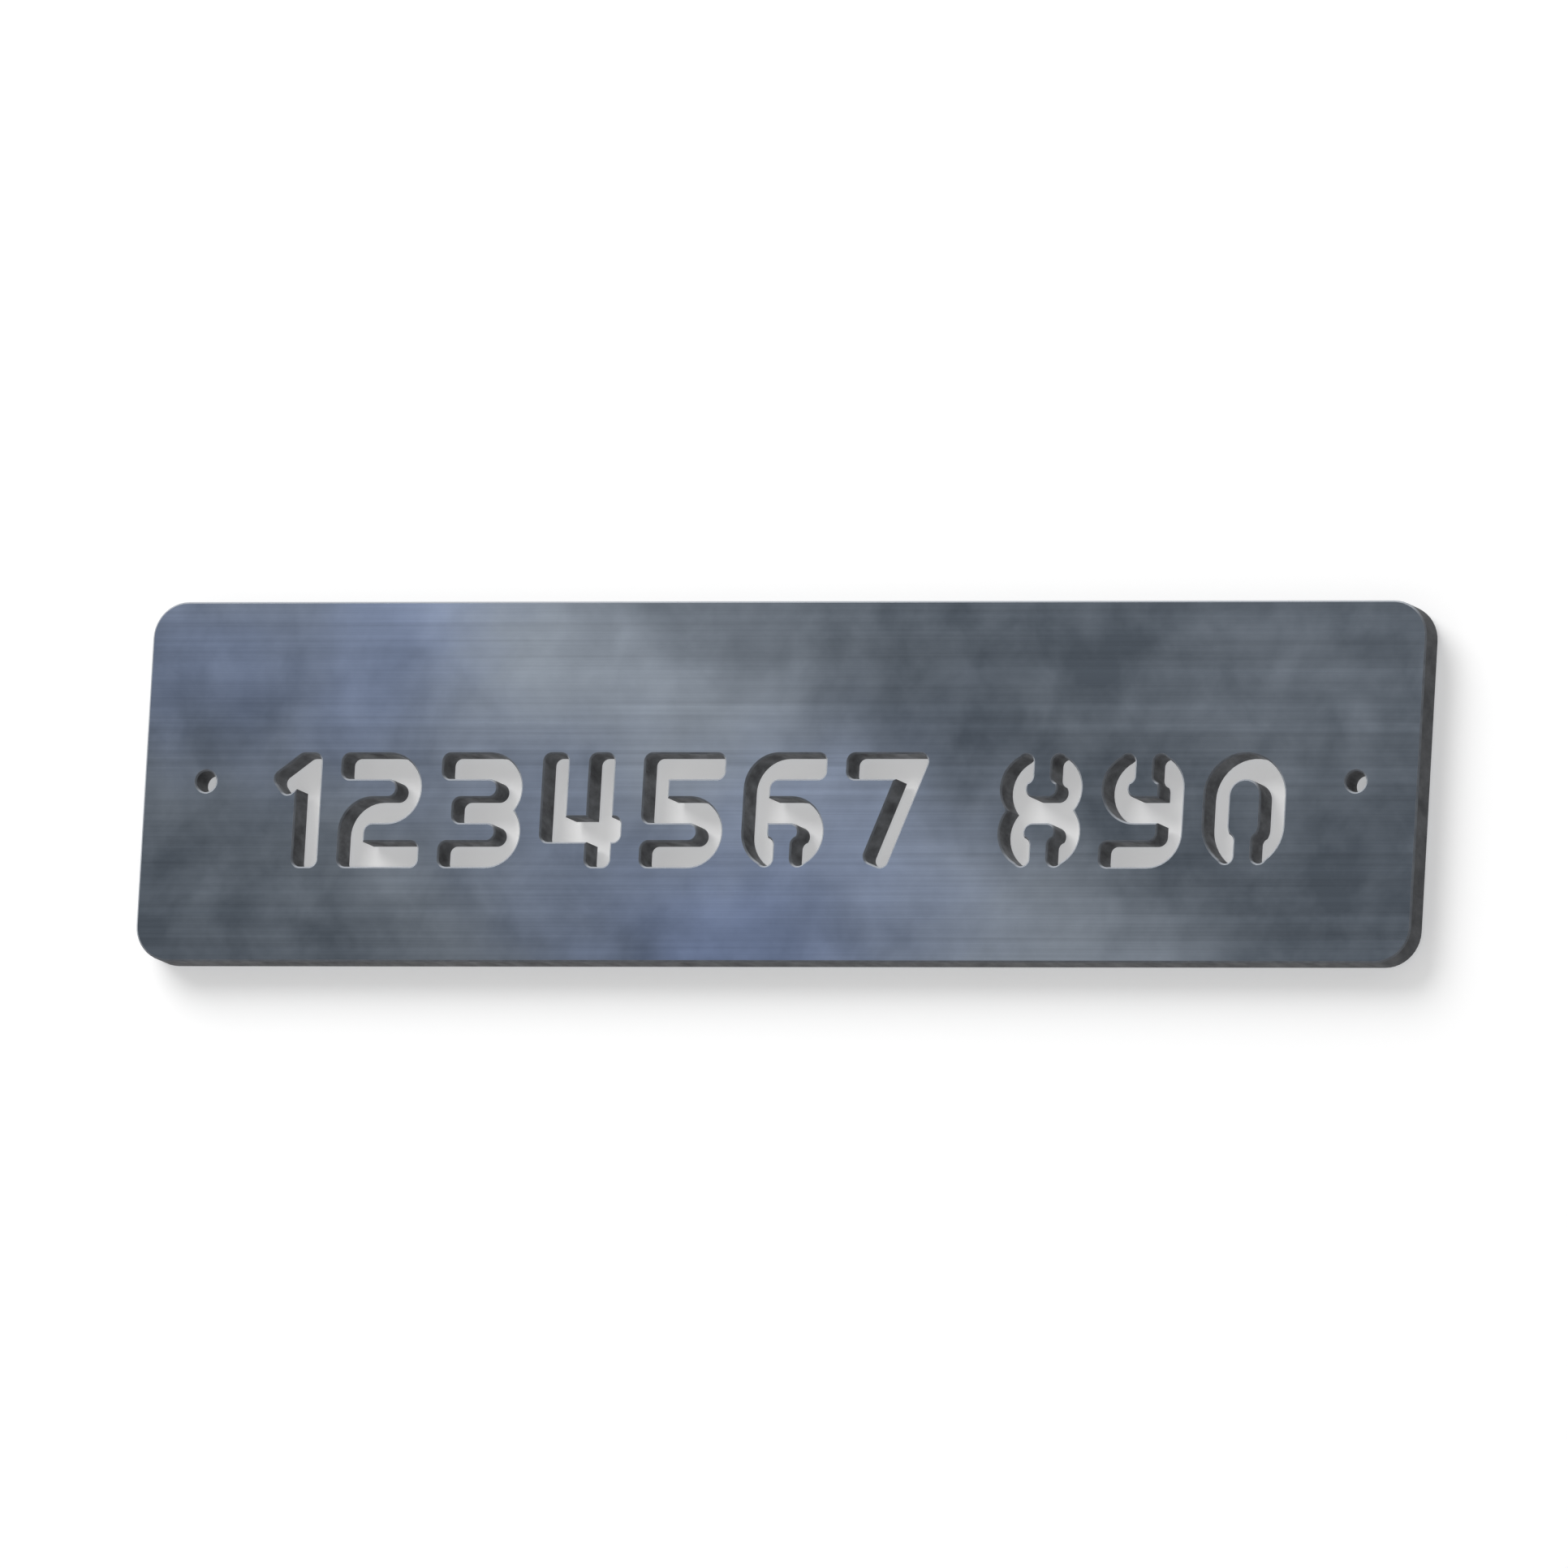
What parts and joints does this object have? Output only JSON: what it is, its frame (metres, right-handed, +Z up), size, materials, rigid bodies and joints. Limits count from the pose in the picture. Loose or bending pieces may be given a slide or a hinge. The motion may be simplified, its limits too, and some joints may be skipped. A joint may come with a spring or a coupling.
{
  "type": "gate name plate",
  "caption": "Thick brushed steel plate with rounded corners, a screw hole at each end and a row of plain figures cut right through it as a stencil, to screw to a gate or wall.",
  "frame": {"origin": "on the back face, midway between the two screw holes, which is also the centre of the plate's outline", "axes": "+X along the plate's length, to the right as one reads it, +Y out of the back face toward the gate or wall, +Z up"},
  "size_m": [0.41, 0.01, 0.11],
  "materials": {
    "name_plate": "brushed"
  },
  "bodies": {
    "root": {"name_plate": "name_plate"}
  },
  "joints": []
}
